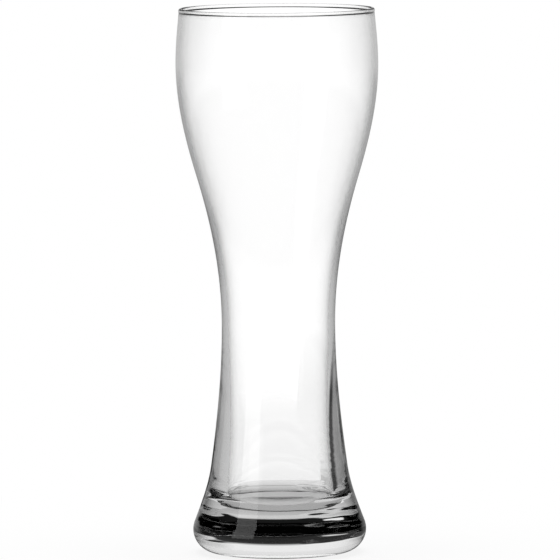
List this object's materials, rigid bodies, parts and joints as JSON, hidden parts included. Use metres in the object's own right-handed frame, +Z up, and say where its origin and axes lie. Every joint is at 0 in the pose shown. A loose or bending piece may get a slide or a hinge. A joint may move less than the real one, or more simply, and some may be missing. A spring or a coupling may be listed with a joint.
{
  "type": "beer glass",
  "caption": "Tall clear beer glass with a bowl that swells under a rounded lip, a slim waist and a heavy solid foot with a rounded heel.",
  "frame": {"origin": "centre of the ring that the foot stands on, at the table", "axes": "+Z up along the glass's axis; the glass is round, so X and Y are free"},
  "size_m": [0.0816, 0.0816, 0.22],
  "materials": {
    "clear_glass": "clear soda-lime glass, fire-polished, with faint chill ripples above the foot"
  },
  "bodies": {
    "root": {"lip": "clear_glass", "bowl": "clear_glass", "shoulder": "clear_glass", "waist": "clear_glass", "foot": "clear_glass"}
  },
  "joints": []
}
